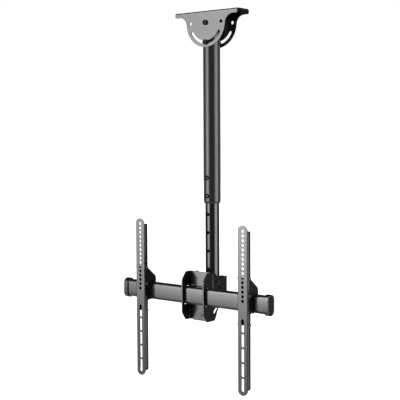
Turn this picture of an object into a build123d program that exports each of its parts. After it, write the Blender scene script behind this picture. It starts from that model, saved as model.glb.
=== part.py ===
from build123d import *
import os
from math import cos, degrees, radians, sin

os.makedirs("parts", exist_ok=True)

# Ceiling mount for a flat display. Millimetres, +Z up, X along the rail, -Y towards the viewer.
# The origin is on the column's axis in the face that lies against the ceiling.

# Clearances
move_gap = 0.3
swing_gap = 0.5
run_gap = 0.05
edge_break = 1.0
thread_tail = 3.0

# Sheet metal
sheet = 3.0
bend = 5.0
arm_sheet = 2.0
hook_sheet = 2.5

# Screws, M8, M6 and M5
m8 = 8.0
m8_across = 13.0
m8_head = 5.3
m8_nut = 6.5
m8_washer = 16.0
m8_washer_thick = 1.6
m6 = 6.0
m6_across = 10.0
m6_head = 4.0
m5 = 5.0
m5_across = 8.0
m5_head = 2.8
m5_nut = 3.6
cap_head = 13.0
cap_head_thick = 8.0
head_chamfer_share = 0.06
tip_chamfer_share = 0.08
hexagon_corner_share = 0.56
socket_share = 0.46

# Ceiling plate
plate_width = 210.0
tab_height = 13.0
tab_corner = 4.0
ear_radius = 65.0
ear_blend = 25.0
pivot_drop = 31.5
lean_slot_radius = 52.0
lean_angle = 60.0
side_hole = 9.5
cross_pitch = 80.0
cross_slot = 7.0
cross_length = 24.0
ceiling_hole = 8.5
ceiling_hole_spacing = 186.0

# Column
outer_radius = 23.2
outer_wall = 2.0
outer_top_rise = 14.0
outer_bottom = -515.0
collar_lip = 7.0
collar_sleeve = 40.0
inner_radius = 19.0
inner_wall = 2.0
inner_bottom = -720.0
inner_length = 465.0
guide_length = 30.0
height_pitch = 50.0
height_hole = 8.0
height_hole_count = 9
first_height_hole = 22.0
height_screw_head = 11.0
height_screw_head_thick = 4.0

# Swivel head
flange_radius = 21.0
flange_thick = 3.0
plug_depth = 22.0
swivel_bolt = 12.0
swivel_bolt_across = 19.0
swivel_bolt_head = 8.0
swivel_washer = 30.0
swivel_washer_thick = 2.5
swivel_width = 53.0
swivel_half_depth = 30.0
swivel_rear_rise = 4.5
swivel_rear_drop = 42.0
swivel_nose = 26.0
swivel_leg_margin = 1.0
lock_screw_angle = 57.5
lock_screw_gap = 0.8

# Rail
rail_length = 490.0
rail_offset = -7.5
rail_height = 48.0
rail_depth = 22.5
rail_corner = 7.5
rail_wall = 2.0
rail_front = -79.5
rail_middle = -765.0
cap_collar = 14.0
cap_proud = 3.6
cap_wall = 4.0
cap_plug = 18.0
cap_edge = 1.5

# Display bracket, with the rail through both side plates
bracket_width = 76.0
bracket_height = 132.0
bracket_top = -700.5
bracket_front = -88.6
bracket_chamfer_y = 18.0
bracket_chamfer_z = 22.0
bracket_foot_y = 15.3
window_gap = 1.2
window_relief = 3.6

# Tilt bracket behind it, whose slots run about the rail's middle
tilt_up = 5.0
tilt_down = 20.0
tilt_arc_radius = 60.0
tilt_bolt_angles = (35.0, -30.0)
tilt_ear_margin = 3.3
tilt_ear_drop = 2.0
tilt_ear_upper = ((24.2, 0.0), (37.2, -13.0), (40.2, -28.0))
tilt_ear_lower = ((39.7, 31.5), (35.7, 22.5), (29.2, 8.0), (24.2, 0.0))
tilt_foot_drop = 2.5
rivet_x = 3.0
rivet_rise = 12.5
rivet = 5.0
rivet_head = 8.0
rivet_head_thick = 1.5
clamp_screw_x = 16.0

# Display arms
arm_x = 175.5
arm_front = -102.0
arm_top = -561.5
arm_length = 440.5
arm_width = 31.5
arm_depth = 13.5
arm_bend = 2.6
arm_tongue = 15.0
arm_hole = 8.5
arm_hole_pitch = 12.0
arm_hole_count = 16
arm_hole_first = 15.0
arm_slot_count = 5
arm_slot_length = 34.5
arm_slot_pitch = 38.6
arm_slot_first = 241.0

# Hook brackets and their liners
hook_top = -697.0
hook_bottom = -822.0
hook_shoulder = -727.0
hook_lip = -790.0
hook_leg = 18.0
hook_bend = 3.3
hook_inset = 2.0
hook_heel = 4.0
liner_wall = 3.0
liner_length = 34.0
arm_bolt_top = -698.5
arm_bolt_middle = -743.0
arm_bolt_bottom = -818.0
arm_bolt_y = -93.5

# Values that follow from the ones above
eps = 0.01
pivot_z = -pivot_drop
ear_outer = outer_radius + swing_gap + sheet
plate_depth = 2 * ear_outer
rail_centre_y = rail_front + rail_depth / 2
rail_back = rail_front + rail_depth
bracket_bottom = bracket_top - bracket_height
bracket_rear = rail_back + move_gap + sheet
tilt_width = swivel_width + 2 * swing_gap + 2 * sheet
swivel_top = inner_bottom - flange_thick
arm_back = arm_front + arm_depth
hook_front = arm_front + arm_bend
hook_width = arm_width - 2 * arm_sheet
liner_front = rail_front - move_gap - liner_wall
liner_rear = rail_back + move_gap + liner_wall
liner_top = rail_middle + rail_height / 2 + move_gap + liner_wall
hook_rear = liner_rear + hook_sheet
rivet_z = bracket_bottom + rivet_rise
tilt_ear_top = bracket_top - tilt_ear_drop
lock_screw_reach = flange_radius + m6_across * hexagon_corner_share + lock_screw_gap
lock_screw_x = lock_screw_reach * cos(radians(lock_screw_angle))
lock_screw_y = lock_screw_reach * sin(radians(lock_screw_angle))
lean_lock_z = pivot_z - lean_slot_radius
over = 1.0


def face_xz(sketch, y, depth):
    """A sketch drawn in X and Z, made solid from y backwards by depth."""
    return extrude(Plane(origin=(0, y, 0), x_dir=(1, 0, 0), z_dir=(0, -1, 0)) * sketch, -depth)


def face_yz(sketch, x, width):
    """A sketch drawn in Y and Z, made solid from x by width."""
    return extrude(Plane(origin=(x, 0, 0), x_dir=(0, 1, 0), z_dir=(1, 0, 0)) * sketch, width)


def face_xy(sketch, z, height):
    """A sketch drawn in X and Y, made solid upwards from z."""
    return extrude(Pos(0, 0, z) * sketch, height)


def channel(width, depth, thick, corner):
    """Folded sheet seen end on: web along y = 0, legs towards -y."""
    outer = Pos(0, -depth / 2) * Rectangle(width, depth)
    outer = fillet(outer.vertices().group_by(Axis.Y)[-1], corner)
    inner = Pos(0, -depth / 2 - thick) * Rectangle(width - 2 * thick, depth)
    inner = fillet(inner.vertices().group_by(Axis.Y)[-1], corner - thick)
    return outer - inner


def outline(points, rounds):
    """A closed outline whose corners take the radii in rounds, zero for a sharp one."""
    shape = make_face(Polyline(*points, close=True))
    for point, radius in zip(points, rounds):
        if radius > 0:
            near = shape.vertices().sort_by_distance((point[0], point[1], 0))[0]
            shape = fillet([near], radius)
    return shape


def arc_slot(centre, radius, start, end, width):
    """A slot of this width along an arc from start to end, in degrees."""
    return SlotArc(CenterArc(centre, radius, start, end - start), width)


def rod(radius, length):
    return Cylinder(radius, length, align=(Align.CENTER, Align.CENTER, Align.MIN))


def rod_x(radius, x, y, z, length):
    return Pos(x, y, z) * Rot(0, 90, 0) * rod(radius, length)


def rod_y(radius, x, y, z, length):
    return Pos(x, y, z) * Rot(-90, 0, 0) * rod(radius, length)


def rod_z(radius, x, y, z, length):
    return Pos(x, y, z) * rod(radius, length)


def hexagon(across, thick):
    """A hexagon head or nut blank from z = 0 upwards, with its corners turned off."""
    blank = extrude(RegularPolygon(across / 2, 6, major_radius=False), thick)
    turned = rod_z(across * hexagon_corner_share, 0, 0, 0, thick)
    turned = chamfer(turned.edges().group_by(Axis.Z)[-1], across * head_chamfer_share)
    return blank & turned


def hex_bolt(diameter, across, head, length):
    """Bolt with its head above z = 0 and its shank below, with a short lead at the tip."""
    shank = rod_z(diameter / 2, 0, 0, -length, length)
    shank = chamfer(shank.edges().group_by(Axis.Z)[0], diameter * tip_chamfer_share)
    return hexagon(across, head) + shank


def socket_bolt(diameter, head_diameter, head, length):
    """Round head with a hexagon socket above z = 0 and a shank below."""
    top = rod_z(head_diameter / 2, 0, 0, 0, head)
    top = chamfer(top.edges().group_by(Axis.Z)[-1], head_diameter * head_chamfer_share)
    key = RegularPolygon(head_diameter * socket_share / 2, 6, major_radius=False)
    key = extrude(Pos(0, 0, head / 2) * key, head)
    shank = rod_z(diameter / 2, 0, 0, -length, length)
    return top - key + shank


def hex_nut(diameter, across, thick):
    bore = Cylinder(diameter / 2, 3 * thick)
    return hexagon(across, thick) - bore


def washer(diameter, outside, thick):
    ring = rod_z(outside / 2, 0, 0, 0, thick)
    return ring - Cylinder(diameter / 2, 3 * thick)


# Turns that point a part made along +Z towards the front, the back or a side
to_front = Rot(90, 0, 0)
to_back = Rot(-90, 0, 0)
to_right = Rot(0, 90, 0)
to_left = Rot(0, -90, 0)


def ceiling_plate():
    """Web against the ceiling and two hanging ears with a lean slot each."""
    deep = pivot_drop + ear_radius + bend
    section = channel(plate_depth, deep, sheet, bend)
    body = face_yz(section, -plate_width / 2, plate_width)
    ear = Pos(0, -tab_height / 2) * Rectangle(plate_width, tab_height)
    ear = fillet(ear.vertices().group_by(Axis.Y)[0], tab_corner)
    disc = Pos(0, pivot_z) * Circle(ear_radius)
    disc = disc & (Pos(0, -deep / 2) * Rectangle(4 * ear_radius, deep))
    ear = ear + disc
    inner = [v for v in ear.vertices() if abs(v.Y + tab_height) < eps and abs(v.X) < ear_radius]
    ear = fillet(inner, ear_blend)
    slot = arc_slot((0, pivot_z), lean_slot_radius, 270 - lean_angle, 270 + lean_angle, m8 + 2 * move_gap)
    ear = ear - slot - Pos(0, pivot_z) * Circle(m8 / 2)
    for side in (-1, 1):
        ear = ear - Pos(side * lean_slot_radius, pivot_z) * Circle(side_hole / 2)
    body = body & face_xz(ear, -ear_outer - over, plate_depth + 2 * over)
    across = 2 * (ear_outer - sheet / 2)
    through = sheet + 2 * eps
    for x in (-cross_pitch, 0, cross_pitch):
        body = body - Pos(x, 0, -sheet / 2) * Box(cross_slot, across, through)
        body = body - face_xy(Pos(x, 0) * SlotOverall(cross_length, cross_slot), -sheet - eps, through)
    for side in (-1, 1):
        body = body - rod_z(ceiling_hole / 2, side * ceiling_hole_spacing / 2, 0, -sheet - eps, through)
    return body


def through_bolt(z, gap):
    """Cap screw from front to back through both ears at height z, its head clear by gap."""
    length = 2 * (ear_outer + gap) + m8_washer_thick + m8_nut + thread_tail
    return Pos(0, -ear_outer - gap, z) * to_front * socket_bolt(m8, cap_head, cap_head_thick, length)


def through_washer(z, gap):
    return Pos(0, ear_outer + gap, z) * to_back * washer(m8, m8_washer, m8_washer_thick)


def through_nut(z, gap):
    y = ear_outer + gap + m8_washer_thick
    return Pos(0, y, z) * to_back * hex_nut(m8, m8_across, m8_nut)


def outer_column():
    """Upper tube, hung on the pivot bolt between the ears."""
    top = pivot_z + outer_top_rise
    height = top - outer_bottom
    tube = rod_z(outer_radius, 0, 0, outer_bottom, height)
    tube = tube - rod_z(outer_radius - outer_wall, 0, 0, outer_bottom - eps, height + 2 * eps)
    tube = tube - rod_y(m8 / 2 + run_gap, 0, -outer_radius - over, pivot_z, 2 * (outer_radius + over))
    tube = tube - rod_y(m8 / 2, 0, -outer_radius - over, lean_lock_z, 2 * (outer_radius + over))
    for z in height_screw_levels():
        tube = tube - rod_y(height_hole / 2, 0, -outer_radius - over, z, outer_radius + over)
    return tube


def height_screw_levels():
    """Two neighbouring steps of the height grid, just above the outer tube's end."""
    grid = inner_bottom + first_height_hole
    steps = [grid + height_pitch * n for n in range(height_hole_count)]
    above = [z for z in steps if z > outer_bottom + m8]
    return above[:2]


def column_collar():
    """Plastic end ring with a bevelled lip and a sleeve between the tubes."""
    lip = rod_z(outer_radius, 0, 0, outer_bottom - collar_lip, collar_lip)
    lip = chamfer(lip.edges().group_by(Axis.Z)[0], edge_break)
    sleeve = rod_z(outer_radius - outer_wall, 0, 0, outer_bottom, collar_sleeve)
    height = collar_lip + collar_sleeve + 2 * over
    ring = lip + sleeve - rod_z(inner_radius + move_gap, 0, 0, outer_bottom - collar_lip - over, height)
    for z in height_screw_levels():
        if z < outer_bottom + collar_sleeve:
            ring = ring - rod_y(height_hole / 2, 0, -outer_radius - over, z, outer_radius + over)
    return ring


def height_screws():
    """Socket screws in the front wall, shown backed off so that the inner tube slides."""
    length = outer_wall
    one = socket_bolt(height_hole, height_screw_head, height_screw_head_thick, length)
    parts = [Pos(0, -outer_radius, z) * to_front * one for z in height_screw_levels()]
    return Compound(children=parts)


def inner_column():
    """Lower tube with a row of height holes through both walls."""
    tube = rod_z(inner_radius, 0, 0, inner_bottom, inner_length)
    tube = tube - rod_z(inner_radius - inner_wall, 0, 0, inner_bottom - eps, inner_length + 2 * eps)
    for n in range(height_hole_count):
        z = inner_bottom + first_height_hole + height_pitch * n
        tube = tube - rod_y(height_hole / 2, 0, -inner_radius - over, z, 2 * (inner_radius + over))
    return tube


def guide_bush():
    """Plastic cap on the inner tube's top that runs in the outer tube."""
    top = inner_bottom + inner_length
    outside = rod_z(outer_radius - outer_wall - move_gap, 0, 0, top - guide_length, guide_length + inner_wall)
    outside = chamfer(outside.edges().group_by(Axis.Z)[-1], edge_break)
    pocket = rod_z(inner_radius, 0, 0, top - guide_length - eps, guide_length + eps)
    bore = rod_z(inner_radius - inner_wall, 0, 0, top - guide_length, guide_length + 2 * inner_wall)
    bush = outside - pocket - bore
    for n in range(height_hole_count):
        z = inner_bottom + first_height_hole + height_pitch * n
        bush = bush - rod_y(height_hole / 2, 0, -outer_radius, z, 2 * outer_radius)
    return bush


def swivel_plug():
    """Turned plug in the tube's foot, with a flange that bears on the swivel bracket."""
    flange = rod_z(flange_radius, 0, 0, inner_bottom - flange_thick, flange_thick)
    flange = chamfer(flange.edges().group_by(Axis.Z)[-1], edge_break)
    plug = rod_z(inner_radius - inner_wall, 0, 0, inner_bottom, plug_depth - m8)
    bore = rod_z(swivel_bolt / 2, 0, 0, inner_bottom - flange_thick - eps, plug_depth + flange_thick)
    return flange + plug - bore


def swivel_bolt_part():
    """Pivot bolt from below, with the bracket free to turn on its shank."""
    under = swivel_top - sheet - 2 * move_gap - swivel_washer_thick
    length = inner_bottom + plug_depth - m8 - under
    bolt = hex_bolt(swivel_bolt, swivel_bolt_across, swivel_bolt_head, length)
    return Pos(0, 0, under) * Rot(180, 0, 0) * bolt


def swivel_washer_part():
    z = swivel_top - sheet - 2 * move_gap
    return Pos(0, 0, z) * Rot(180, 0, 0) * washer(swivel_bolt, swivel_washer, swivel_washer_thick)


def tilt_bolt_places():
    """Upper and lower bolt in Y and Z, on the slots' circle about the rail's middle."""
    places = []
    for angle in tilt_bolt_angles:
        y = rail_centre_y + tilt_arc_radius * cos(radians(angle))
        z = rail_middle + tilt_arc_radius * sin(radians(angle))
        places.append((y, z))
    return places


def swivel_bracket():
    """Welded bracket: a web under the column between two side plates that take the tilt bolts."""
    (upper_y, upper_z), (lower_y, lower_z) = tilt_bolt_places()
    top = swivel_top - move_gap
    margin = m8_across / 2 + swivel_leg_margin
    low = lower_z - margin
    points = [
        (-swivel_nose, top),
        (0, top),
        (swivel_half_depth, top + swivel_rear_rise),
        (swivel_half_depth, top - swivel_rear_drop),
        (lower_y + margin, low),
        (lower_y - margin, low),
        (lower_y - margin, lower_z + m8_across),
        (-swivel_nose, upper_z - m8_across),
    ]
    side = outline(points, [0, 0, edge_break, m8, m8_head, m8_head, 0, m8])
    for y, z in tilt_bolt_places():
        side = side - Pos(y, z) * Circle(m8 / 2)
    deep = swivel_nose + swivel_half_depth
    web = Pos(0, (swivel_half_depth - swivel_nose) / 2) * Rectangle(swivel_width - 2 * sheet, deep)
    body = face_xy(web, top - sheet, sheet)
    for x in (-swivel_width / 2, swivel_width / 2 - sheet):
        body = body + face_yz(side, x, sheet)
    body = body - rod_z(swivel_bolt / 2 + run_gap, 0, 0, top - sheet - eps, sheet + 2 * eps)
    return body - rod_z(m6 / 2, lock_screw_x, lock_screw_y, top - sheet - eps, sheet + 2 * eps)


def swivel_lock_screw():
    """Hexagon screw in the bracket's top beside the flange."""
    top = swivel_top - move_gap
    return Pos(lock_screw_x, lock_screw_y, top) * hex_bolt(m6, m6_across, m6_head, sheet + m6)


def tilt_bolts():
    half = tilt_width / 2 + move_gap + m8_washer_thick
    length = 2 * half + m8_nut + thread_tail
    one = hex_bolt(m8, m8_across, m8_head, length)
    return Compound(children=[Pos(half, y, z) * to_right * one for y, z in tilt_bolt_places()])


def tilt_washers():
    half = tilt_width / 2 + move_gap
    ring = washer(m8, m8_washer, m8_washer_thick)
    parts = []
    for y, z in tilt_bolt_places():
        parts.append(Pos(half, y, z) * to_right * ring)
        parts.append(Pos(-half, y, z) * to_left * ring)
    return Compound(children=parts)


def tilt_nuts():
    half = tilt_width / 2 + move_gap + m8_washer_thick
    one = hex_nut(m8, m8_across, m8_nut)
    return Compound(children=[Pos(-half, y, z) * to_left * one for y, z in tilt_bolt_places()])


def rail_profile(grow, corner):
    """The rail's rounded section in Y and Z, larger all round by grow."""
    shape = RectangleRounded(rail_depth + 2 * grow, rail_height + 2 * grow, corner)
    return Pos(rail_centre_y, rail_middle) * shape


def display_bracket():
    """Channel open to the front whose side plates carry the rail in close windows."""
    deep = bracket_rear - bracket_front
    section = channel(bracket_width, deep, sheet, bend)
    body = face_xy(Pos(0, bracket_rear) * section, bracket_bottom, bracket_height)
    dy, dz = bracket_chamfer_y, bracket_chamfer_z
    points = [
        (bracket_rear, bracket_top),
        (bracket_front + dy, bracket_top),
        (bracket_front, bracket_top - dz),
        (bracket_front, bracket_bottom + dz),
        (bracket_front + bracket_foot_y, bracket_bottom),
        (bracket_rear, bracket_bottom),
    ]
    side = outline(points, [0, 2 * tab_corner, 2 * bend, 2 * bend, sheet, 0])
    side = side - rail_profile(window_gap, rail_corner + window_gap)
    for z in (rail_middle - rail_height / 2, rail_middle + rail_height / 2):
        side = side - Pos(rail_front + window_gap, z) * Circle(window_relief / 2)
    body = body & face_yz(side, -bracket_width, 2 * bracket_width)
    body = body - rod_y(rivet / 2, rivet_x, bracket_rear - sheet - eps, rivet_z, sheet + 2 * eps)
    for x in (-clamp_screw_x, clamp_screw_x):
        body = body - rod_y(m8 / 2, x, bracket_rear - sheet - eps, rail_middle, sheet + 2 * eps)
    return body


def tilt_bracket():
    """Channel open to the back, riveted behind the display bracket, with the tilt slots."""
    reach = tilt_arc_radius + m8 / 2 + tilt_ear_margin
    deep = rail_centre_y + reach - bracket_rear
    section = channel(tilt_width, deep, sheet, bend)
    low = bracket_bottom - tilt_foot_drop
    body = face_xy(Pos(0, bracket_rear) * Rot(0, 0, 180) * section, low, tilt_ear_top - low)
    disc = Pos(rail_centre_y, rail_middle) * Circle(reach)
    span = Pos(bracket_rear + deep / 2, (tilt_ear_top + low) / 2) * Rectangle(deep, tilt_ear_top - low)
    points = [(bracket_rear, low), (bracket_rear, tilt_ear_top)]
    points += [(bracket_rear + y, tilt_ear_top + z) for y, z in tilt_ear_upper]
    points += [(bracket_rear + y, low + z) for y, z in tilt_ear_lower]
    ear = (disc & span) + outline(points, [0, 0, bend, bend, 0, 0, bend, bend, sheet])
    play = degrees(edge_break / tilt_arc_radius)
    for angle in tilt_bolt_angles:
        start = angle - tilt_down - play
        end = angle + tilt_up + play
        ear = ear - arc_slot((rail_centre_y, rail_middle), tilt_arc_radius, start, end, m8 + 2 * move_gap)
    body = body & face_yz(ear, -tilt_width, 2 * tilt_width)
    body = body - rod_y(rivet / 2, rivet_x, bracket_rear - eps, rivet_z, sheet + 2 * eps)
    for x in (-clamp_screw_x, clamp_screw_x):
        body = body - rod_y(m8 / 2, x, bracket_rear - eps, rail_middle, sheet + 2 * eps)
    return body


def bracket_rivet():
    """Rivet low in the webs of the two brackets, with a flat head at each end."""
    face = bracket_rear - sheet
    shank = rod_y(rivet / 2, rivet_x, face, rivet_z, 2 * sheet)
    front = rod_y(rivet_head / 2, rivet_x, face - rivet_head_thick, rivet_z, rivet_head_thick)
    back = rod_y(rivet_head / 2, rivet_x, bracket_rear + sheet, rivet_z, rivet_head_thick)
    return shank + front + back


def clamp_screws():
    """Screws from behind that pass both webs and press on the rail's back."""
    back = bracket_rear + sheet
    one = hex_bolt(m8, m8_across, m8_head, back - rail_back)
    places = (-clamp_screw_x, clamp_screw_x)
    return Compound(children=[Pos(x, back, rail_middle) * to_back * one for x in places])


def rail():
    """Rounded rectangular tube that carries the two arms."""
    left = rail_offset - rail_length / 2
    tube = face_yz(rail_profile(0, rail_corner), left, rail_length)
    bore = rail_profile(-rail_wall, rail_corner - rail_wall)
    return tube - face_yz(bore, left - over, rail_length + 2 * over)


def end_cap(side):
    """Plastic cap: a collar round the rail's end, an end wall and a plug inside."""
    end = rail_offset + side * rail_length / 2
    outer_end = end + side * cap_wall
    inner_end = outer_end - side * cap_collar
    left = min(outer_end, inner_end)
    shell = face_yz(rail_profile(cap_proud, rail_corner + cap_proud), left, cap_collar)
    rim = shell.edges().group_by(Axis.X)[-1 if side > 0 else 0]
    shell = chamfer(rim, cap_edge)
    pocket = rail_profile(0, rail_corner)
    pocket = face_yz(pocket, min(end, inner_end - side * over), cap_collar - cap_wall + over)
    plug = rail_profile(-rail_wall, rail_corner - rail_wall)
    plug = face_yz(plug, min(end, end - side * cap_plug), cap_plug)
    hollow = rail_profile(-2 * rail_wall, rail_corner - 2 * rail_wall)
    hollow = face_yz(hollow, min(end, end - side * (cap_plug + over)), cap_plug + over)
    return shell - pocket + (plug - hollow)


def arm_hole_levels():
    return [arm_top - arm_hole_first - arm_hole_pitch * n for n in range(arm_hole_count)]


def arm_slot_levels():
    """Middles of the long slots, from the top one down."""
    first = arm_top - arm_slot_first - arm_slot_length / 2
    return [first - arm_slot_pitch * n for n in range(arm_slot_count)]


def arm(side):
    """Folded display arm with round ends, a row of holes and long slots."""
    x = side * arm_x
    middle = arm_top - arm_length / 2
    section = Rot(0, 0, 180) * channel(arm_width, arm_depth, arm_sheet, arm_bend)
    body = face_xy(Pos(x, arm_front) * section, arm_top - arm_length, arm_length)
    face = Pos(x, middle) * SlotOverall(arm_length, arm_width, 90)
    for z in arm_hole_levels():
        face = face - Pos(x, z) * Circle(arm_hole / 2)
    for z in arm_slot_levels():
        face = face - Pos(x, z) * SlotOverall(arm_slot_length, arm_hole, 90)
    body = body & face_xz(face, arm_front - over, arm_depth + 2 * over)
    flange_low = arm_top - arm_length + arm_tongue
    flange_high = arm_top - arm_tongue
    points = [
        (arm_front - over, arm_top + over),
        (arm_front - over, arm_top - arm_length - over),
        (arm_front + arm_sheet, arm_top - arm_length - over),
        (arm_front + arm_sheet, flange_low),
        (arm_back, flange_low),
        (arm_back, flange_high),
        (arm_front + arm_sheet, flange_high),
        (arm_front + arm_sheet, arm_top + over),
    ]
    keep = outline(points, [0, 0, 0, 0, bend, sheet, 0, 0])
    body = body & face_yz(keep, x - arm_width, 2 * arm_width)
    for z in arm_bolt_levels():
        body = body - rod_x(m5 / 2, x - arm_width, arm_bolt_y, z, 2 * arm_width)
    return body


def arm_bolt_levels():
    return (arm_bolt_top, arm_bolt_middle, arm_bolt_bottom)


def hook_bracket(side):
    """Channel open to the arm, whose side plates hang over the rail in front of its web."""
    x = side * arm_x
    section = channel(hook_width, hook_rear - hook_front, hook_sheet, hook_bend)
    body = face_xy(Pos(x, hook_rear) * section, hook_bottom, hook_top - hook_bottom)
    points = [
        (hook_front, hook_top),
        (arm_back - hook_inset, hook_top),
        (hook_rear, hook_shoulder),
        (hook_rear, liner_top - hook_leg),
        (liner_rear, liner_top - hook_leg),
        (liner_rear, liner_top),
        (liner_front, liner_top),
        (liner_front, hook_lip),
        (arm_back - hook_inset, hook_lip - hook_heel),
        (arm_back - hook_inset, hook_bottom),
        (hook_front, hook_bottom),
    ]
    corner = rail_corner + move_gap + liner_wall
    side_plate = outline(points, [0, sheet, tab_corner, edge_break, 0, corner, corner, edge_break, edge_break,
                                  hook_inset, 0])
    body = body & face_yz(side_plate, x - arm_width, 2 * arm_width)
    for z in arm_bolt_levels():
        body = body - rod_x(m5 / 2, x - arm_width, arm_bolt_y, z, 2 * arm_width)
    return body


def rail_liner(side):
    """Plastic liner between the hook's notch and the rail, open below."""
    x = side * arm_x
    outer = rail_profile(move_gap + liner_wall, rail_corner + move_gap + liner_wall)
    inner = rail_profile(move_gap, rail_corner + move_gap)
    front_half = Pos((liner_front + rail_centre_y) / 2, (hook_lip + liner_top) / 2)
    front_half = front_half * Rectangle(rail_centre_y - liner_front, liner_top - hook_lip)
    rear_half = Pos((liner_rear + rail_centre_y) / 2, liner_top - hook_leg / 2)
    rear_half = rear_half * Rectangle(liner_rear - rail_centre_y, hook_leg)
    low_cut = Pos(rail_centre_y, hook_lip) * Rectangle(2 * rail_corner, rail_corner)
    shape = (outer - inner) & (front_half + rear_half)
    return face_yz(shape - low_cut, x - liner_length / 2, liner_length)


def arm_bolts(side):
    """Bolts across the arm that fix the hook bracket, heads to the right."""
    half = arm_width / 2
    one = hex_bolt(m5, m5_across, m5_head, arm_width + m5_nut + edge_break)
    x = side * arm_x + half
    return Compound(children=[Pos(x, arm_bolt_y, z) * to_right * one for z in arm_bolt_levels()])


def arm_nuts(side):
    half = arm_width / 2
    one = hex_nut(m5, m5_across, m5_nut)
    x = side * arm_x - half
    return Compound(children=[Pos(x, arm_bolt_y, z) * to_left * one for z in arm_bolt_levels()])


def write(name, shape):
    export_step(shape, os.path.join("parts", name + ".step"))


write("ceiling_plate", ceiling_plate())
write("pivot_bolt", through_bolt(pivot_z, 0))
write("pivot_washer", through_washer(pivot_z, 0))
write("pivot_nut", through_nut(pivot_z, 0))
write("lean_lock_bolt", through_bolt(lean_lock_z, move_gap))
write("lean_lock_washer", through_washer(lean_lock_z, move_gap))
write("lean_lock_nut", through_nut(lean_lock_z, move_gap))
write("outer_column", outer_column())
write("column_collar", column_collar())
write("height_screws", height_screws())
write("inner_column", inner_column())
write("guide_bush", guide_bush())
write("swivel_plug", swivel_plug())
write("swivel_bolt", swivel_bolt_part())
write("swivel_washer", swivel_washer_part())
write("swivel_bracket", swivel_bracket())
write("swivel_lock_screw", swivel_lock_screw())
write("tilt_bolts", tilt_bolts())
write("tilt_washers", tilt_washers())
write("tilt_nuts", tilt_nuts())
write("tilt_bracket", tilt_bracket())
write("display_bracket", display_bracket())
write("bracket_rivet", bracket_rivet())
write("clamp_screws", clamp_screws())
write("rail", rail())
for side, name in ((-1, "left"), (1, "right")):
    write("end_cap_" + name, end_cap(side))
    write("arm_" + name, arm(side))
    write("hook_bracket_" + name, hook_bracket(side))
    write("rail_liner_" + name, rail_liner(side))
    write("arm_bolts_" + name, arm_bolts(side))
    write("arm_nuts_" + name, arm_nuts(side))
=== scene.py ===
"""Looks of a tv ceiling mount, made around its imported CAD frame.

The scene is in metres in the row's frame: the origin is on the column's axis in the face that lies against
the ceiling, +Z up, +X along the rail to the right arm, -Y towards the display. Shapes are drawn in
millimetres, and surface_object brings them to metres.
"""
from math import asin, cos, pi, radians, sin, sqrt, tan

import bmesh
import bpy
import numpy as np
from mathutils import Matrix, Vector


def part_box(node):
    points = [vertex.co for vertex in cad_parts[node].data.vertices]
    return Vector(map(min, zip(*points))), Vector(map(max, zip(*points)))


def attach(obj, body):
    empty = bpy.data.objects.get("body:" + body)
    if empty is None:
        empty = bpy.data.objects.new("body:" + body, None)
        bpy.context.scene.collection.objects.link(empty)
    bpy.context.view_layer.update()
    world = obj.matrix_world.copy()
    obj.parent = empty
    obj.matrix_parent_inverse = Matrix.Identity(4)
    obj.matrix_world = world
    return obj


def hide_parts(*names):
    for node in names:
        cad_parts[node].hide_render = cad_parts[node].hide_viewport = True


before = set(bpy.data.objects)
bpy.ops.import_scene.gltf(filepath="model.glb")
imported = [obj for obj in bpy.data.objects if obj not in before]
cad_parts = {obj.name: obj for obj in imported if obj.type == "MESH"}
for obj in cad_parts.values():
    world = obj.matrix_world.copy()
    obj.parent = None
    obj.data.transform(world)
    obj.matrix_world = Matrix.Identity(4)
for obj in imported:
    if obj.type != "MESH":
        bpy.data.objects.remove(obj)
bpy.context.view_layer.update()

bl_info = {
    "name": "TV ceiling mount looks",
    "version": (1, 0, 0),
    "blender": (4, 5, 0),
    "location": "View3D > Sidebar > Ceiling mount",
    "description": "Coats, screws, caps and stage for the packed tv ceiling mount",
    "category": "Object",
}

MM = 0.001

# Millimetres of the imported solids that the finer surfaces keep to
TUBE_RADIUS, TUBE_BORE, TUBE_TOP, TUBE_END = 23.2, 21.25, -17.5, -515.0
INNER_RADIUS, INNER_TOP, INNER_END = 19.0, -256.0, -719.0
HOLE_RADIUS, HOLE_PITCH, HOLE_COUNT, LOWEST_HOLE = 4.0, 50.0, 9, -698.0
RAIL_DEPTH, RAIL_HEIGHT, RAIL_WALL, RAIL_MIDDLE, RAIL_HALF = 22.5, 48.0, 2.0, -7.5, 245.0
RAIL_AT = (-68.25, -765.0)
ARM_X, FLANGE_X, HOOK_X = 175.5, 15.75, 12.5

# The photograph shows a mouth drawn in along a quarter ellipse, and rounder corners than the solids have
MOUTH_IN, MOUTH_DOWN, MOUTH_TOP = 3.4, 9.7, -508.6
RAIL_CORNER, CAP_CORNER = 8.3, 10.8

STEEL_NODES = ("ceiling_plate", "swivel_plug", "swivel_bracket", "tilt_bracket", "display_bracket", "rail",
               "arm_left", "arm_right", "hook_bracket_left", "hook_bracket_right", "bracket_rivet")
TUBE_NODES = ("inner_column",)
TEXTURED_NODES = ("outer_column",)
OXIDE_NODES = ("pivot_bolt", "lean_lock_bolt")
OILED_NODES = ("height_screws", "tilt_bolts")
PLATED_NODES = ("pivot_washer", "pivot_nut", "lean_lock_washer", "lean_lock_nut", "swivel_bolt",
                "swivel_washer", "swivel_lock_screw", "tilt_washers", "tilt_nuts", "clamp_screws",
                "arm_bolts_left", "arm_nuts_left", "arm_bolts_right", "arm_nuts_right")
NYLON_NODES = ("column_collar", "guide_bush", "rail_liner_left", "rail_liner_right")
CAP_NODES = ("end_cap_left", "end_cap_right")


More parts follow.
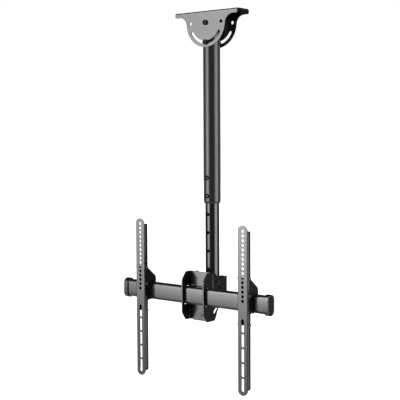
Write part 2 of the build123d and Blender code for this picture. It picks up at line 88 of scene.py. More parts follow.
class CoatColours(bpy.types.PropertyGroup):
    """Colours of the mount's finishes as sRGB hex values, and the gloss of its coats; scale also stands as
    painted shade in bores and round holes.
    """
    steel: bpy.props.StringProperty(
        name="Powder coat", description="sRGB hex colour of the coated steel", default="111113")
    steel_roughness: bpy.props.FloatProperty(
        name="Powder coat roughness", description="Roughness of the satin coat's skin", default=0.22, min=0,
        max=1, subtype="FACTOR")
    textured_roughness: bpy.props.FloatProperty(
        name="Textured coat roughness", description="Roughness of the upper tube's textured coat",
        default=0.3, min=0, max=1, subtype="FACTOR")
    plated: bpy.props.StringProperty(
        name="Blackened screws", description="sRGB hex colour of the plated fasteners", default="5a5a5e")
    oxide: bpy.props.StringProperty(
        name="Oxide screws", description="sRGB hex colour of the oxide-black screws", default="0c0c0e")
    # scale is painted shade: its near-black stands for the shade in the inner tube's bore and round the
    # height holes, and it also colours the button screws' heads
    scale: bpy.props.StringProperty(
        name="Mill scale", description="sRGB hex colour of bare bores and hole edges", default="040405")
    plastic: bpy.props.StringProperty(
        name="Moulded plastic", description="sRGB hex colour of caps, collar and liners", default="121214")


class StageSettings(bpy.types.PropertyGroup):
    """Camera, lamps, and the room as the camera and the coat see it."""
    lens: bpy.props.FloatProperty(
        name="Lens", description="Focal length on a 36 mm sensor", default=85.0, min=10,
        subtype="DISTANCE_CAMERA")
    floor_height: bpy.props.FloatProperty(
        name="Floor", description="Height of the room's floor under the ceiling face", default=-2.4,
        unit="LENGTH")
    key_radiance: bpy.props.FloatProperty(
        name="Left softbox", description="Radiance of the softbox at the front left", default=4.3, min=0)
    side_radiance: bpy.props.FloatProperty(
        name="Right softbox", description="Radiance of the softbox at the right", default=4.4, min=0)
    mirrored_grey: bpy.props.FloatProperty(
        name="Mirrored room", description="Grey of the room as the coat mirrors it", default=0.035, min=0,
        max=1, subtype="FACTOR")
    mirrored_floor: bpy.props.FloatProperty(
        name="Mirrored floor", description="Grey of the floor under the mount as the coat mirrors it",
        default=0.6, min=0, max=1, subtype="FACTOR")
    mirrored_backdrop: bpy.props.FloatProperty(
        name="Mirrored backdrop", description="Grey of the backdrop behind as the coat mirrors it",
        default=0.3, min=0, max=1, subtype="FACTOR")


def linear(code):
    """An sRGB hex value as linear red, green, blue and 1."""
    value = np.array([int(code[i:i + 2], 16) / 255 for i in (0, 2, 4)])
    value = np.where(value <= 0.04045, value / 12.92, ((value + 0.055) / 1.055) ** 2.4)
    return (*value.tolist(), 1.0)


def add_node(tree, kind, settings=None, links=None):
    """Adds a shader node. settings go to its properties or inputs, and links join sockets to its inputs."""
    node = tree.nodes.new(kind)
    for name, value in (settings or {}).items():
        if isinstance(name, str) and hasattr(node, name):
            setattr(node, name, value)
        else:
            node.inputs[name].default_value = value
    for name, socket in (links or {}).items():
        tree.links.new(socket, node.inputs[name])
    return node


def mapped(tree, value, low, high, start=0.0, end=1.0, curve="LINEAR"):
    """The socket of a value that goes from low to high while the given one goes from start to end."""
    node = add_node(tree, "ShaderNodeMapRange",
                    {"From Min": start, "From Max": end, "To Min": low, "To Max": high,
                     "interpolation_type": curve}, {"Value": value})
    return node.outputs["Result"]


def combined(tree, operation, first, second):
    """The socket of a math node on two others."""
    node = add_node(tree, "ShaderNodeMath", {"operation": operation}, {0: first, 1: second})
    return node.outputs["Value"]


def noise(tree, scale, detail, **settings):
    """The socket of a noise in the object's own coordinates, with scale cells per metre."""
    place = add_node(tree, "ShaderNodeTexCoord").outputs["Object"]
    node = add_node(tree, "ShaderNodeTexNoise", {"Scale": scale, "Detail": detail, **settings},
                    {"Vector": place})
    return node.outputs["Fac"]


def new_material(name):
    """A material whose node tree is still empty, and that tree."""
    material = bpy.data.materials.new(name)
    material.use_nodes = True
    material.node_tree.nodes.clear()
    return material, material.node_tree


def principled(tree, settings, links):
    """Ends a material's tree in one principled shader."""
    surface = add_node(tree, "ShaderNodeBsdfPrincipled", settings, links)
    add_node(tree, "ShaderNodeOutputMaterial", None, {"Surface": surface.outputs["BSDF"]})


def powder_coated_steel(name, colour, roughness, shine, sheen=0.0):
    """Black polyester powder coat, baked on folded and tubular mild steel.

    The skin is smooth and satin with a faint orange peel of 2 to 3 mm cells, so softboxes mirror as bands
    with soft edges. The coat rounds every cut edge by a few tenths of a millimetre. shine is its specular
    level, and sheen the dusty veil of a textured coat.
    """
    material, tree = new_material(name)
    rounded = add_node(tree, "ShaderNodeBevel", {"samples": 8, "Radius": 0.4 * MM})
    # Orange peel: cells of 2.5 mm, so 400 per metre
    peel = noise(tree, 400.0, 1.0, Roughness=0.4)
    bumped = add_node(tree, "ShaderNodeBump", {"Strength": 0.3, "Distance": 0.004 * MM},
                      {"Height": peel, "Normal": rounded.outputs["Normal"]})
    # Coat thickness wanders over a hand's breadth and changes the gloss a little
    gloss = mapped(tree, noise(tree, 14.0, 2.0), roughness - 0.02, roughness + 0.02)
    principled(tree, {"Base Color": linear(colour), "IOR": 1.52, "Specular IOR Level": shine,
                      "Sheen Weight": sheen, "Sheen Roughness": 0.5},
               {"Roughness": gloss, "Normal": bumped.outputs["Normal"]})
    return material


def black_zinc_plate(colours):
    """Black-passivated zinc on rolled screws, nuts and washers: a thin dark metal skin with blotches."""
    material, tree = new_material("black_zinc_plate")
    rounded = add_node(tree, "ShaderNodeBevel", {"samples": 4, "Radius": 0.25 * MM})
    # Blotches of the passivation bath, about 4 mm across
    gloss = mapped(tree, noise(tree, 250.0, 3.0), 0.24, 0.42)
    principled(tree, {"Base Color": linear(colours.plated), "Metallic": 0.7},
               {"Roughness": gloss, "Normal": rounded.outputs["Normal"]})
    return material


def black_oxide(name, colour, shine):
    """Black oxide on bare steel. shine is its specular level: highest where it is oiled, low on the dry cap
    screws, and next to none for the near-black that stands as painted shade in bores and round hole edges."""
    material, tree = new_material(name)
    # Soot of the bath, in spots of about 1.5 mm
    gloss = mapped(tree, noise(tree, 650.0, 2.0), 0.3, 0.45)
    principled(tree, {"Base Color": linear(colour), "Specular IOR Level": shine}, {"Roughness": gloss})
    return material


def moulded_nylon(name, colour, roughness):
    """Injection-moulded black polyamide: satin, with the fine spark-eroded grain of its mould."""
    material, tree = new_material(name)
    rounded = add_node(tree, "ShaderNodeBevel", {"samples": 4, "Radius": 0.5 * MM})
    # The real grain is about 0.2 mm; it is drawn at 0.8 mm, the finest that still shows
    grain = noise(tree, 1250.0, 2.0)
    bumped = add_node(tree, "ShaderNodeBump", {"Strength": 0.3, "Distance": 0.006 * MM},
                      {"Height": grain, "Normal": rounded.outputs["Normal"]})
    gloss = mapped(tree, grain, roughness - 0.03, roughness + 0.03)
    principled(tree, {"Base Color": linear(colour), "IOR": 1.5, "Specular IOR Level": 1.0},
               {"Roughness": gloss, "Normal": bumped.outputs["Normal"]})
    return material


def coat(nodes, material):
    """Gives CAD nodes a finish through their objects' material slots."""
    for name in nodes:
        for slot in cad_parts[name].material_slots:
            slot.material = material


def softbox(name, azimuth, half_angle, low, high, radiance, fades, levels):
    """An upright rectangular lamp that faces the column, at an azimuth from the front to the right.

    It spans half_angle to each side, and low to high in height. Its radiance falls off smoothly over the
    shares fades of its width at the left and right side. levels are rows of start height, end height and
    gain: from start to end the radiance rises by gain times radiance.
    """
    distance = 2.6
    a = radians(azimuth)
    away = Vector((sin(a), -cos(a), 0))
    along = Vector((cos(a), sin(a), 0))
    half = distance * tan(radians(half_angle))
    lamp = bpy.data.lights.new(name, "AREA")
    lamp.shape = "RECTANGLE"
    lamp.size, lamp.size_y = 2 * half, high - low
    lamp.energy = radiance * pi * lamp.size * lamp.size_y
    lamp.use_nodes = True
    tree = lamp.node_tree
    tree.nodes.clear()
    where = add_node(tree, "ShaderNodeNewGeometry").outputs["Position"]
    across = add_node(tree, "ShaderNodeVectorMath", {"operation": "DOT_PRODUCT", 1: along}, {0: where})
    height = add_node(tree, "ShaderNodeSeparateXYZ", None, {"Vector": where})
    left, right = (mapped(tree, across.outputs["Value"], 0, 1, side * half, side * half * (1 - 2 * fade),
                          "SMOOTHSTEP") for side, fade in zip((-1, 1), fades))
    steps = [mapped(tree, height.outputs["Z"], 0, gain, start, end, "SMOOTHSTEP")
             for start, end, gain in levels]
    risen = steps[0]
    for step in steps[1:]:
        risen = combined(tree, "ADD", risen, step)
    strength = combined(tree, "MULTIPLY", combined(tree, "MULTIPLY", left, right), risen)
    glow = add_node(tree, "ShaderNodeEmission", None, {"Strength": strength})
    add_node(tree, "ShaderNodeOutputLight", None, {"Surface": glow.outputs["Emission"]})
    stand = bpy.data.objects.new(name, lamp)
    bpy.context.scene.collection.objects.link(stand)
    stand.location = away * distance + Vector((0, 0, (low + high) / 2))
    stand.rotation_euler = (-away).to_track_quat("-Z", "Y").to_euler()
    stand.visible_camera = False


def white_world(settings):
    """White for the camera, a dim room for what the coat mirrors, and a plain level for the rest."""
    plain_level = 0.45
    world = bpy.data.worlds.new("white_room")
    bpy.context.scene.world = world
    world.use_nodes = True
    tree = world.node_tree
    tree.nodes.clear()
    path = add_node(tree, "ShaderNodeLightPath")
    toward = add_node(tree, "ShaderNodeTexCoord").outputs["Generated"]
    # The white backdrop behind the mount shows in grazing reflections, and fades out from 14 to 33 degrees
    # off +Y, which are the cosines 0.97 and 0.84
    behind = add_node(tree, "ShaderNodeSeparateXYZ", None, {"Vector": toward}).outputs["Y"]
    backdrop = mapped(tree, behind, settings.mirrored_grey, settings.mirrored_backdrop, 0.84, 0.97,
                      "SMOOTHSTEP")
    room = add_node(tree, "ShaderNodeMapRange", {"To Min": plain_level},
                    {"Value": path.outputs["Is Glossy Ray"], "To Max": backdrop})
    seen = combined(tree, "MAXIMUM", path.outputs["Is Camera Ray"], room.outputs["Result"])
    sky = add_node(tree, "ShaderNodeBackground", {"Color": (1, 1, 1, 1)}, {"Strength": seen})
    add_node(tree, "ShaderNodeOutputWorld", None, {"Surface": sky.outputs["Background"]})


def pale_floor(settings):
    """The room's floor: white to the camera, where the mount's shadow stays faintly visible."""
    half = 30.0
    corners = np.array([(-half, -half), (half, -half), (half, half), (-half, half)])
    points = np.column_stack([corners, np.full(4, settings.floor_height)])
    mesh = bpy.data.meshes.new("floor")
    mesh.from_pydata(points.tolist(), [], [(0, 1, 2, 3)])
    floor = bpy.data.objects.new("floor", mesh)
    bpy.context.scene.collection.objects.link(floor)
    material, tree = new_material("pale_floor_paint")
    path = add_node(tree, "ShaderNodeLightPath")
    paint = add_node(tree, "ShaderNodeBsdfDiffuse", {"Color": linear("e8e8e8")})
    glow = add_node(tree, "ShaderNodeEmission", {"Color": (1, 1, 1, 1)},
                    {"Strength": path.outputs["Is Camera Ray"]})
    both = add_node(tree, "ShaderNodeAddShader", None,
                    {0: paint.outputs["BSDF"], 1: glow.outputs["Emission"]})
    # The coat mirrors the lit floor under the mount, and beyond 3.3 to 4.7 m the same dim room as above
    reach = add_node(tree, "ShaderNodeVectorMath", {"operation": "LENGTH"},
                     {0: add_node(tree, "ShaderNodeNewGeometry").outputs["Position"]})
    lit = mapped(tree, reach.outputs["Value"], settings.mirrored_floor, settings.mirrored_grey, 3.3, 4.7,
                 "SMOOTHSTEP")
    mirrored = add_node(tree, "ShaderNodeEmission", None, {"Strength": lit})
    seen = add_node(tree, "ShaderNodeMixShader", None,
                    {0: path.outputs["Is Glossy Ray"], 1: both.outputs["Shader"],
                     2: mirrored.outputs["Emission"]})
    add_node(tree, "ShaderNodeOutputMaterial", None, {"Surface": seen.outputs["Shader"]})
    mesh.materials.append(material)


def photo_camera(settings):
    """The camera that was fitted to the photograph: 38.6 degrees to the right, 4 degrees down."""
    place = (1.581605, -2.034672, -0.327811)
    turn, dip, roll = radians(38.605), radians(4.032), radians(-0.306)
    ahead = Vector((-sin(turn) * cos(dip), cos(turn) * cos(dip), -sin(dip)))
    level = Vector((cos(turn), sin(turn), 0))
    above = level.cross(ahead)
    right = level * cos(roll) + above * sin(roll)
    up = -level * sin(roll) + above * cos(roll)
    view = bpy.data.cameras.new("photo_camera")
    view.lens = settings.lens
    view.sensor_width = 36.0
    view.clip_end = 100.0
    camera = bpy.data.objects.new("photo_camera", view)
    bpy.context.scene.collection.objects.link(camera)
    axes = Matrix((right, up, -ahead)).transposed()
    camera.matrix_world = Matrix.Translation(place) @ axes.to_4x4()
    bpy.context.scene.camera = camera


def ring_faces(count, around, joined):
    """Quads between neighbouring rings of a (count, around) grid; joined also links last and first."""
    ring, step = np.meshgrid(np.arange(count if joined else count - 1), np.arange(around), indexing="ij")
    after, beside = (ring + 1) % count, (step + 1) % around
    corners = ((ring, step), (ring, beside), (after, beside), (after, step))
    return np.stack([row * around + place for row, place in corners], -1).reshape(-1, 4)


def surface_object(name, sheets, material, body, nodes=(), joined=False):
    """One mesh of several closed surfaces, in place of nodes where there are any.

    Each sheet is an array (rings, points around, 3) in millimetres: ring i, step j is linked to ring i + 1
    and to step j + 1. If joined, a sheet's last ring is linked to its first, and else a middle vertex
    closes each end.
    """
    points, faces, start = [], [], 0
    for sheet in sheets:
        count, around = sheet.shape[:2]
        used = count * around
        points.append(sheet.reshape(-1, 3))
        faces += (ring_faces(count, around, joined) + start).tolist()
        if not joined:
            step = np.arange(around)
            beside = (step + 1) % around
            last = start + used - around
            middle = np.full(around, start + used)
            points.append(np.stack([sheet[0].mean(0), sheet[-1].mean(0)]))
            faces += np.stack([middle, start + beside, start + step], -1).tolist()
            faces += np.stack([middle + 1, last + step, last + beside], -1).tolist()
            used += 2
        start += used
    mesh = bpy.data.meshes.new(name)
    mesh.from_pydata((np.vstack(points) * MM).tolist(), [], faces)
    shell = bmesh.new()
    shell.from_mesh(mesh)
    bmesh.ops.recalc_face_normals(shell, faces=shell.faces)
    shell.to_mesh(mesh)
    shell.free()
    mesh.polygons.foreach_set("use_smooth", np.ones(len(mesh.polygons), dtype=bool))
    mesh.set_sharp_from_angle(angle=radians(30))
    mesh.materials.append(bpy.data.materials[material])
    piece = bpy.data.objects.new(name, mesh)
    bpy.context.scene.collection.objects.link(piece)
    if nodes:
        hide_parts(*nodes)
    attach(piece, body)


def circle(steps):
    """Angles of the given number of even steps once round."""
    return np.linspace(0, 2 * pi, steps, endpoint=False)


def turned(profile, around=96):
    """Surface of revolution about Z: the point (radius, height) of the profile at angle t is
    (radius cos t, radius sin t, height)."""
    profile = np.asarray(profile, float)
    t = circle(around)
    r, z = profile[:, :1], profile[:, 1:]
    return np.stack([r * np.cos(t), r * np.sin(t), z + 0 * t], -1)


def placed(rings, at, axis):
    """Rings made along +Z, turned so that +Z points along axis, and moved to at."""
    turn = np.array(Vector(axis).to_track_quat("Z", "Y").to_matrix())
    return rings @ turn.T + np.array(at, float)


def hexagon_radius(across, t):
    """Distance from the middle to the side of a regular hexagon, in direction t."""
    return across / 2 / np.cos((t + pi / 6) % (pi / 3) - pi / 6)


def threaded_shank(diameter, pitch, length, thread, t):
    """Rings from the tip up to the head, which is at height 0.

    Over the length thread the radius dips by a triangle wave of the phase height / pitch - angle / turn,
    which winds one groove per pitch, 0.61 of a pitch deep. The tip narrows over one pitch.
    """
    rows = np.linspace(length - thread, length, int(8 * thread / pitch) + 1)
    z = -np.unique(np.concatenate([rows, [0.0, length]]))[::-1, None]
    wave = np.abs((z / pitch - t / (2 * pi)) % 1 * 2 - 1)
    threaded = np.clip((thread - length - z) / pitch, 0, 1)
    lead = np.clip((z + length) / pitch, 0, 1)
    radius = diameter / 2 - 0.61 * pitch * wave * threaded - 0.6 * pitch * (1 - lead)
    return np.stack([radius * np.cos(t), radius * np.sin(t), z + 0 * t], -1)


def stack(rows, t):
    """Rings from rows of height, round radius and hexagon width; a ring follows the smaller of the two."""
    rings = []
    for height, radius, across in rows:
        r = np.full_like(t, radius) if across is None else np.minimum(radius, hexagon_radius(across, t))
        rings.append(np.stack([r * np.cos(t), r * np.sin(t), np.full_like(t, height)], -1))
    return np.array(rings)


def hex_screw(diameter, pitch, across, head, length, thread):
    """Hexagon head whose corners are turned off by a cone of about 30 degrees, on a threaded shank."""
    t = circle(72)
    corner = across / sqrt(3)
    turned_off = corner - 0.475 * across
    rows = [(0.0, 0.49 * across, across), (0.25, corner, across)]
    rows += [(head - 0.6 * turned_off + 0.6 * d, corner - d, across) for d in np.linspace(0, turned_off, 5)]
    return np.concatenate([threaded_shank(diameter, pitch, length, thread, t), stack(rows, t)])


def socket_screw(diameter, pitch, width, head, socket, deep, length, thread, edge):
    """Round head with a rim rounded by edge and a hexagon socket, on a threaded shank."""
    t = circle(72)
    rows = [(0.0, width / 2, None)]
    rows += [(head - edge + edge * sin(v), width / 2 - edge + edge * cos(v), None)
             for v in np.linspace(0, pi / 2, 6)]
    rows += [(head, socket * 0.62, None), (head - 0.3, width, socket), (head - deep, width, socket),
             (head - deep - 0.2, socket * 0.4, None)]
    return np.concatenate([threaded_shank(diameter, pitch, length, thread, t), stack(rows, t)])


def rounded_box_ring(depth, height, corner, grow):
    """Rounded rectangle in Y and Z, grown all round: four quarter circles of radius corner + grow."""
    a = np.linspace(0, pi / 2, 12)
    y, z = depth / 2 - corner, height / 2 - corner
    r = max(corner + grow, 0.05)
    parts = []
    for quarter, (sy, sz) in enumerate(((1, 1), (-1, 1), (-1, -1), (1, -1))):
        b = a + quarter * pi / 2
        parts.append(np.stack([sy * y + r * np.cos(b), sz * z + r * np.sin(b)], -1))
    return np.concatenate(parts)


def bar(depth, height, corner, at, stations):
    """Rings along X of the rounded rectangle about at = (Y, Z), one for each station of X and growth."""
    rings = []
    for x, grow in stations:
        flat = rounded_box_ring(depth, height, corner, grow) + np.array(at)
        rings.append(np.column_stack([np.full(len(flat), x), flat]))
    return np.array(rings)


def pressed_ridge(face, side, depth, width, height, low, high):
    """Rolled ridge on an upright sheet face at X = face, outwards along side, from Y = depth over width.

    Its height follows a slow rise over 0.7 of its width and a steep round drop, and shrinks to nothing as
    the root of the distance from its lower and upper end. Its foot lies 0.3 mm inside the sheet.
    """
    along = np.array([0.0, 0.24, 0.47, 0.7, 0.83, 0.93, 1.0, 1.0, 0.0])
    rise = np.array([0.0, 0.35, 0.7, 1.0, 0.97, 0.65, 0.0, -0.3 / height, -0.3 / height])
    level = np.concatenate([np.linspace(low, low + 10, 6), np.linspace(high - 8, high, 6)])
    full = np.sqrt(np.clip(np.minimum(level - low + 0.5, high + 0.5 - level) / 10, 0.02, 1))
    out = face + side * height * np.where(rise > 0, rise * full[:, None], rise)
    return np.stack([out, np.broadcast_to(depth + width * along, out.shape),
                     np.broadcast_to(level[:, None], out.shape)], -1)


def edge_strip(outer, inner, low, high):
    """Closed strip of sheet along a plate's edge: ring i is the quad between point i of the outer and of
    the inner line (both rows of Y and Z), with its faces at X = low and X = high."""
    corners = ((outer, low), (outer, high), (inner, high), (inner, low))
    return np.stack([np.column_stack([np.full(len(line), x), line]) for line, x in corners], 1)


def hole_rim(tube, hole, burr, height):
    """Ring round a hole in the front of a tube, shaped as a burr; its black is painted shade that widens
    the hole's dark.

    Its rings are circles about the hole's axis whose points lie on the tube's circle: first a hair proud of
    it, then along the hole's wall, and back inside the sheet.
    """
    t = circle(48)
    rings = []
    for radius, under in ((hole + burr, -0.03), (hole + burr - 0.2, -0.08), (hole - 0.2, -0.08),
                          (hole - 0.3, 0.1), (hole - 0.3, 1.9), (hole + burr, 0.6)):
        x, z = radius * np.cos(t), height + radius * np.sin(t)
        rings.append(np.stack([x, under - np.sqrt(tube ** 2 - x ** 2), z], -1))
    return np.array(rings)


def mouth(angles):
    """Points (radius, height) of the outer tube's drawn-in mouth, from the tube's side inwards."""
    return [(TUBE_RADIUS - MOUTH_IN + MOUTH_IN * cos(v), MOUTH_TOP - MOUTH_DOWN * sin(v)) for v in angles]


class MOUNT_OT_column(bpy.types.Operator):
    """Outer tube with its drawn-in mouth, the collar in it, and painted shade in the inner tube's bore and
    round its holes
    """
    bl_idname = "ceiling_mount.column"
    bl_label = "Column"

    def execute(self, context):
        # The tube's steel ends part of the way down the mouth, and the collar goes on with its curve
        seam = asin((MOUTH_TOP - TUBE_END) / MOUTH_DOWN)
        tube = [(TUBE_RADIUS, TUBE_TOP - 0.5), (TUBE_RADIUS, MOUTH_TOP),
                *mouth(np.linspace(0.05, seam, 12)), (TUBE_BORE, TUBE_END), (TUBE_BORE, TUBE_TOP),
                (TUBE_RADIUS - 0.5, TUBE_TOP)]
        surface_object("outer_tube", [turned(tube, 128)], "textured_powder_coat", "upper_column",
                       ["outer_column"], joined=True)
        collar = [*mouth(np.linspace(seam, pi / 2, 12)), (19.3, -518.0), (19.3, -475.0), (21.1, -475.0),
                  (21.1, TUBE_END + 0.1)]
        surface_object("tube_collar", [turned(collar, 128)], "moulded_nylon", "upper_column",
                       ["column_collar"], joined=True)
        # A near-black sleeve just inside the inner tube's bore is painted shade, so the height holes show
        # dark
        bore = [(16.97, INNER_END), (16.97, INNER_TOP), (16.8, INNER_TOP), (16.8, INNER_END)]
        surface_object("painted_shade_bore", [turned(bore)], "burnt_scale_and_painted_shade", "lower_column", joined=True)
        # Near-black rims round the height holes are painted shade
        rims = [hole_rim(INNER_RADIUS, HOLE_RADIUS, burr=0.7, height=LOWEST_HOLE + HOLE_PITCH * n)
                for n in range(HOLE_COUNT)]
        surface_object("height_hole_shade_rims", rims, "burnt_scale_and_painted_shade", "lower_column", joined=True)
        return {"FINISHED"}


class MOUNT_OT_screws(bpy.types.Operator):
    """Cap screws, button screws and hexagon screws with real sockets, chamfers and threads"""
    bl_idname = "ceiling_mount.screws"
    bl_label = "Screws"

    def execute(self, context):
        front, back, right, up = (0, -1, 0), (0, 1, 0), (1, 0, 0), (0, 0, 1)
        # Diameter, pitch, head's width and height, socket's width and depth, length, thread, rim
        pivot_cap = socket_screw(8, 1.25, 14.3, 4.5, 6, 2.5, 64.5, 22, 0.8)
        lean_cap = socket_screw(8, 1.25, 14.3, 4.5, 6, 2.5, 65.1, 22, 0.8)
        button = socket_screw(7.8, 1.25, 13.6, 1.0, 5.6, 0.8, 1.4, 1.25, 0.5)
        # The raised middle of each button screw's socket, in radius and height
        pin = turned([(2.0, 0.2), (2.0, 0.7), (1.7, 1.0), (1.0, 1.0), (0.8, 0.7)], 36)
        # Diameter, pitch, width across flats, head's height, length, thread
        tilt = hex_screw(8, 1.25, 13, 5.3, 73.3, 22)
        lock = hex_screw(6, 1.0, 10, 4, 9, 8)
        clamp = hex_screw(7.9, 1.25, 13, 5.3, 6.3, 5)
        cross = hex_screw(5, 0.8, 8, 2.8, 36.1, 12)
        buttons = [(0, -22.7, z) for z in (-498, -448)]
        tilts = [(31.9, -19.1, -730.586), (31.9, -16.288, -795.0)]
        clamps = [(x, -50.7, RAIL_AT[1]) for x in (-16, 16)]
        groups = [
            ("pivot_screw", pivot_cap, [(0, -26.7, -31.5)], front, "black_oxide", "ceiling", "pivot_bolt"),
            ("lean_lock_screw", lean_cap, [(0, -27.0, -83.5)], front, "black_oxide", "upper_column",
             "lean_lock_bolt"),
            ("height_button_screws", button, buttons, front, "burnt_scale_and_painted_shade", "upper_column",
             "height_screws"),
            ("height_screw_pins", pin, buttons, front, "oiled_black_oxide", "upper_column", None),
            ("tilt_hex_screws", tilt, tilts, right, "oiled_black_oxide", "swivel_head", "tilt_bolts"),
            ("swivel_hex_screw", lock, [(14.722, 23.109, -723.3)], up, "black_zinc_plate", "swivel_head",
             "swivel_lock_screw"),
            ("clamp_hex_screws", clamp, clamps, back, "black_zinc_plate", "display_head", "clamp_screws"),
        ]
        for side, name in ((-1, "left"), (1, "right")):
            places = [(side * ARM_X + FLANGE_X, -93.5, z) for z in (-698.5, -743, -818)]
            groups.append(("arm_cross_screws_" + name, cross, places, right, "black_zinc_plate",
                           name + "_arm", "arm_bolts_" + name))
        for name, shape, places, axis, material, body, node in groups:
            surface_object(name, [placed(shape, at, axis) for at in places], material, body,
                           [node] if node else [])
        return {"FINISHED"}


class MOUNT_OT_rail(bpy.types.Operator):
    """Rail of flat-oval tube, and moulded end caps with a rounded rim and a sunk end panel"""
    bl_idname = "ceiling_mount.rail"
    bl_label = "Rail and end caps"

    def execute(self, context):
        left, right = RAIL_MIDDLE - RAIL_HALF, RAIL_MIDDLE + RAIL_HALF
        tube = bar(RAIL_DEPTH, RAIL_HEIGHT, RAIL_CORNER, RAIL_AT,
                   ((left, 0), (right, 0), (right, -RAIL_WALL), (left, -RAIL_WALL)))
        surface_object("oval_rail", [tube], "powder_coated_steel", "display_head", ["rail"], joined=True)
        # Rows of distance in from the cap's outer end, and growth over the rail's section: inside, lip, rim
        # and sunk panel
        wall, rim = 4.0, 1.5
        rows = [(wall - 0.1, 0.05), (14.0, 0.05), (14.0, 2.8), (13.2, 3.6)]
        rows += [(rim - rim * sin(v), 3.6 - rim + rim * cos(v)) for v in np.linspace(0, pi / 2, 8)]
        rows += [(0.0, -0.4), (0.6, -1.0), (0.6, -4.0)]
        for side, name in ((-1, "left"), (1, "right")):
            end = RAIL_MIDDLE + side * (RAIL_HALF + wall)
            cap = bar(RAIL_DEPTH, RAIL_HEIGHT, CAP_CORNER, RAIL_AT,
                      [(end - side * inward, grow) for inward, grow in rows])
            surface_object("moulded_cap_" + name, [cap], "grained_nylon", "display_head",
                           ["end_cap_" + name])
        return {"FINISHED"}


class MOUNT_OT_arm_details(bpy.types.Operator):
    """Ridges on the tilt ears and the arms' flanges, and the hook brackets' foot bars and shoulders"""
    bl_idname = "ceiling_mount.arm_details"
    bl_label = "Arm details"

    def execute(self, context):
        steel = "powder_coated_steel"
        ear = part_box("tilt_bracket")[1][0] / MM
        creases = [pressed_ridge(s * ear, s, depth=-38.5, width=4.6, height=0.42, low=-750, high=-705)
                   for s in (-1, 1)]
        surface_object("tilt_ear_creases", creases, steel, "display_head")
        # The foot bar's ends are rounded by a quarter circle: rows of distance in from the end, and growth
        edge, half = 0.7, 11.2
        rim = [(edge - edge * cos(v), edge * sin(v) - edge) for v in np.linspace(0, pi / 2, 5)]
        foot = [(inward - half, grow) for inward, grow in rim]
        foot += [(half - inward, grow) for inward, grow in rim[::-1]]
        # Outer and inner line of the hooks' slanting upper edge in Y and Z, and half their sheet
        outer = [(-96.5, -694.0), (-93.0, -694.0), (-88.9, -696.6), (-73.0, -709.5), (-57.1, -722.4),
                 (-54.2, -725.2), (-52.2, -729.3), (-51.4, -734.5), (-51.4, -743.5)]
        inner = [(-96.5, -700.0), (-94.0, -700.0), (-91.0, -702.0), (-76.0, -714.0), (-61.0, -726.0),
                 (-58.0, -729.0), (-56.0, -732.0), (-55.5, -735.5), (-55.5, -743.5)]
        sheet = 1.22
        for side, name in ((-1, "left"), (1, "right")):
            x = side * ARM_X
            beads = [pressed_ridge(x + s * FLANGE_X, s, depth=-97.6, width=3.6, height=0.34, low=-985,
                                   high=-577) for s in (-1, 1)]
            surface_object("flange_beads_" + name, beads, steel, name + "_arm")
            tab = bar(depth=1.6, height=20.0, corner=edge, at=(-90.2, -811.0),
                      stations=[(x + along, grow) for along, grow in foot])
            surface_object("hook_foot_" + name, [tab], steel, name + "_arm")
            plates = [x + s * HOOK_X for s in (-1, 1)]
            shoulders = [edge_strip(outer, inner, plate - sheet, plate + sheet) for plate in plates]
            surface_object("hook_shoulders_" + name, shoulders, steel, name + "_arm")
        return {"FINISHED"}


class MOUNT_OT_stage(bpy.types.Operator):
    """Sets camera, softboxes, white room and floor"""
    bl_idname = "ceiling_mount.stage"
    bl_label = "Stage"

    def execute(self, context):
        settings = context.scene.ceiling_mount_stage
        context.scene.view_settings.view_transform = "Standard"
        white_world(settings)
        pale_floor(settings)
        softbox("left_softbox", azimuth=-30, half_angle=24, low=-2.1, high=2.0,
                radiance=settings.key_radiance, fades=(0.345, 0.16),
                levels=((-2.0, -1.8, 0.3), (-1.42, -1.0, 0.74), (-1.0, -0.7, 0.36), (-0.3, 0.2, -0.44),
                        (0.5, 0.9, 0.7)))
        softbox("right_softbox", azimuth=102, half_angle=27.5, low=-2.3, high=1.0,
                radiance=settings.side_radiance, fades=(0.2, 0.3),
                levels=((-2.3, -1.7, 0.8), (-1.7, -0.9, 0.2)))
        photo_camera(settings)
        return {"FINISHED"}


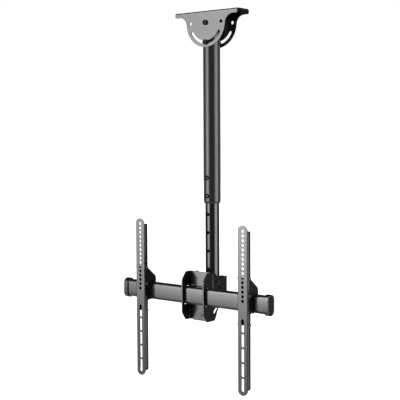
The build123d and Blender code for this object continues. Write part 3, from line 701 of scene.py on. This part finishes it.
class MOUNT_OT_coats(bpy.types.Operator):
    """Makes the finishes and coats the CAD nodes with them"""
    bl_idname = "ceiling_mount.coats"
    bl_label = "Coats"

    def execute(self, context):
        colours = context.scene.ceiling_mount_colours
        steel, skin = colours.steel, colours.steel_roughness
        coat(STEEL_NODES, powder_coated_steel("powder_coated_steel", steel, skin, 1.0))
        coat(TUBE_NODES, powder_coated_steel("powder_coated_tube", steel, skin, 0.75))
        coat(TEXTURED_NODES,
             powder_coated_steel("textured_powder_coat", steel, colours.textured_roughness, 0.62, 0.2))
        coat(PLATED_NODES, black_zinc_plate(colours))
        coat(OXIDE_NODES, black_oxide("black_oxide", colours.oxide, 0.15))
        coat(OILED_NODES, black_oxide("oiled_black_oxide", colours.oxide, 0.45))
        coat(NYLON_NODES, moulded_nylon("moulded_nylon", colours.plastic, 0.22))
        coat(CAP_NODES, moulded_nylon("grained_nylon", colours.plastic, 0.24))
        # Near-black of the button screws' heads, and painted shade in the inner tube's bore and round its
        # holes; only the finer surfaces carry it
        black_oxide("burnt_scale_and_painted_shade", colours.scale, 0.04)
        return {"FINISHED"}


class MOUNT_PT_panel(bpy.types.Panel):
    """Settings and steps of the mount's looks"""
    bl_label = "Ceiling mount"
    bl_idname = "MOUNT_PT_panel"
    bl_space_type = "VIEW_3D"
    bl_region_type = "UI"
    bl_category = "Ceiling mount"

    def draw(self, context):
        for group in (context.scene.ceiling_mount_colours, context.scene.ceiling_mount_stage):
            for name in group.__annotations__:
                self.layout.prop(group, name)
        for operator in OPERATORS:
            self.layout.operator(operator.bl_idname)


OPERATORS = (MOUNT_OT_stage, MOUNT_OT_coats, MOUNT_OT_column, MOUNT_OT_screws, MOUNT_OT_rail,
             MOUNT_OT_arm_details)
CLASSES = (CoatColours, StageSettings, *OPERATORS, MOUNT_PT_panel)


def register():
    """Registers the classes and their settings on the scene."""
    for item in CLASSES:
        bpy.utils.register_class(item)
    bpy.types.Scene.ceiling_mount_colours = bpy.props.PointerProperty(type=CoatColours)
    bpy.types.Scene.ceiling_mount_stage = bpy.props.PointerProperty(type=StageSettings)


def unregister():
    """Takes back what register does."""
    del bpy.types.Scene.ceiling_mount_stage
    del bpy.types.Scene.ceiling_mount_colours
    for item in reversed(CLASSES):
        bpy.utils.unregister_class(item)


def main():
    """Dresses the frame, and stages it."""
    register()
    bpy.ops.ceiling_mount.stage()
    bpy.ops.ceiling_mount.coats()
    bpy.ops.ceiling_mount.column()
    bpy.ops.ceiling_mount.screws()
    bpy.ops.ceiling_mount.rail()
    bpy.ops.ceiling_mount.arm_details()


if __name__ == "__main__":
    main()
